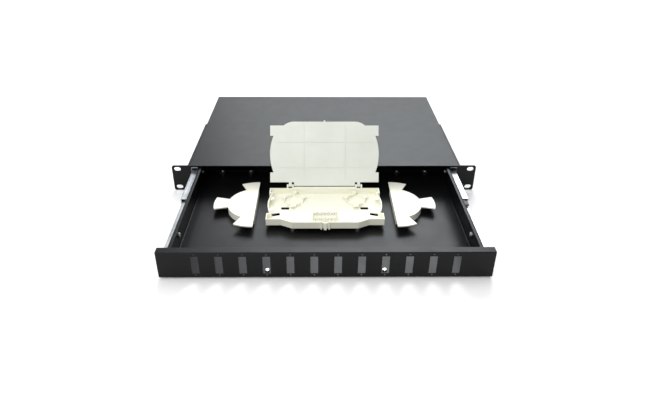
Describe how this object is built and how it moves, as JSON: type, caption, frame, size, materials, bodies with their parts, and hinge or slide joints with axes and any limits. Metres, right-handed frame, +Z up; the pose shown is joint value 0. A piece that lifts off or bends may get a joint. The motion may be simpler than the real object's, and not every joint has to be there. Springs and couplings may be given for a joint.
{
  "type": "fiber termination box",
  "caption": "One-unit rack drawer box that ends fiber cables: windows for adapters in front, hinged splice tray and fiber spools inside, cable glands behind.",
  "frame": {"origin": "centre of the rectangle of rack holes, on the front faces of the ears", "axes": "+X to the right seen from the front, -Y out of the front along the drawer's way, +Z up"},
  "size_m": [0.4826, 0.5527, 0.1098],
  "materials": {
    "black_powder_coat": "fine textured black powder coat on steel sheet",
    "black_screws": "black oxide steel screws and clamps",
    "zinc_slides": "bright zinc plated rolled steel",
    "steel_balls": "polished bearing steel",
    "ball_cages": "plain zinc plated strip",
    "zinc_screws": "zinc plated screws and spacers, faintly yellow",
    "white_abs": "moulded white ABS, satin",
    "lid_abs": "thin moulded ABS, slightly grey-green",
    "cream_comb": "cream moulded comb",
    "black_plastic": "moulded black nylon",
    "black_rubber": "black rubber"
  },
  "bodies": {
    "housing": {"housing_base": "black_powder_coat", "top_cover": "black_powder_coat", "top_cover_screws": "black_screws", "left_rack_bracket": "black_powder_coat", "right_rack_bracket": "black_powder_coat", "bracket_screws": "black_screws", "slide_rear_screws": "black_screws", "left_slide_outer": "zinc_slides", "right_slide_outer": "zinc_slides", "slide_bumpers": "black_rubber", "cable_gland_bodies": "black_plastic", "cable_gland_locknuts": "black_plastic", "cable_gland_seals": "black_rubber", "cable_gland_domes": "black_plastic", "blanking_grommets": "black_rubber"},
    "drawer": {"drawer_tray": "black_powder_coat", "front_panel": "black_powder_coat", "front_panel_screws": "zinc_screws", "left_slide_inner": "zinc_slides", "right_slide_inner": "zinc_slides", "drawer_slide_screws": "zinc_screws", "lever_rivets": "zinc_screws", "splice_tray_standoffs": "zinc_screws", "splice_tray_base": "white_abs", "splice_tray_screws": "zinc_screws", "splice_holder": "cream_comb", "left_fiber_spool": "white_abs", "right_fiber_spool": "white_abs", "fiber_spool_screws": "zinc_screws", "clamp_standoffs": "black_screws", "clamp_plates": "black_screws", "clamp_screws": "zinc_screws"},
    "lid": {"splice_tray_lid": "lid_abs"},
    "left_slide_middle": {"left_slide_middle": "zinc_slides"},
    "left_outer_cage": {"left_outer_ball_cage": "ball_cages", "left_outer_balls": "steel_balls"},
    "left_inner_cage": {"left_inner_ball_cage": "ball_cages", "left_inner_balls": "steel_balls"},
    "left_release_lever": {"left_release_lever": "black_plastic"},
    "right_slide_middle": {"right_slide_middle": "zinc_slides"},
    "right_outer_cage": {"right_outer_ball_cage": "ball_cages", "right_outer_balls": "steel_balls"},
    "right_inner_cage": {"right_inner_ball_cage": "ball_cages", "right_inner_balls": "steel_balls"},
    "right_release_lever": {"right_release_lever": "black_plastic"}
  },
  "joints": [
    {"name": "drawer_slide", "type": "slide", "parent": "housing", "child": "drawer", "axis": [0, -1, 0], "range_m": [-0.011, 0.0733]},
    {"name": "lid_hinge", "type": "hinge", "parent": "drawer", "child": "lid", "pos_m": [0, -0.0255, 0], "axis": [1, 0, 0], "range_deg": [0, 121]},
    {"name": "left_middle_slide", "type": "slide", "parent": "housing", "child": "left_slide_middle", "axis": [0, -1, 0], "range_m": [-0.0056, 0.03675]},
    {"name": "left_outer_cage_roll", "type": "slide", "parent": "housing", "child": "left_outer_cage", "axis": [0, -1, 0], "range_m": [-0.00285, 0.01843]},
    {"name": "left_inner_cage_roll", "type": "slide", "parent": "left_slide_middle", "child": "left_inner_cage", "axis": [0, -1, 0], "range_m": [-0.00285, 0.01843]},
    {"name": "left_release_lever_pivot", "type": "hinge", "parent": "drawer", "child": "left_release_lever", "pos_m": [-0.2038, -0.135, 0], "axis": [1, 0, 0], "range_deg": [0, 5], "stiffness_Nm_per_rad": 0.05, "springref_deg": -11.46},
    {"name": "right_middle_slide", "type": "slide", "parent": "housing", "child": "right_slide_middle", "axis": [0, -1, 0], "range_m": [-0.0056, 0.03675]},
    {"name": "right_outer_cage_roll", "type": "slide", "parent": "housing", "child": "right_outer_cage", "axis": [0, -1, 0], "range_m": [-0.00285, 0.01843]},
    {"name": "right_inner_cage_roll", "type": "slide", "parent": "right_slide_middle", "child": "right_inner_cage", "axis": [0, -1, 0], "range_m": [-0.00285, 0.01843]},
    {"name": "right_release_lever_pivot", "type": "hinge", "parent": "drawer", "child": "right_release_lever", "pos_m": [0.2038, -0.135, 0], "axis": [-1, 0, 0], "range_deg": [0, 5], "stiffness_Nm_per_rad": 0.05, "springref_deg": -11.46}
  ],
  "couplings": [
    {"joint": "left_middle_slide", "follows": "drawer_slide", "ratio": 0.5},
    {"joint": "left_outer_cage_roll", "follows": "drawer_slide", "ratio": 0.25},
    {"joint": "left_inner_cage_roll", "follows": "drawer_slide", "ratio": 0.25},
    {"joint": "right_middle_slide", "follows": "drawer_slide", "ratio": 0.5},
    {"joint": "right_outer_cage_roll", "follows": "drawer_slide", "ratio": 0.25},
    {"joint": "right_inner_cage_roll", "follows": "drawer_slide", "ratio": 0.25}
  ]
}
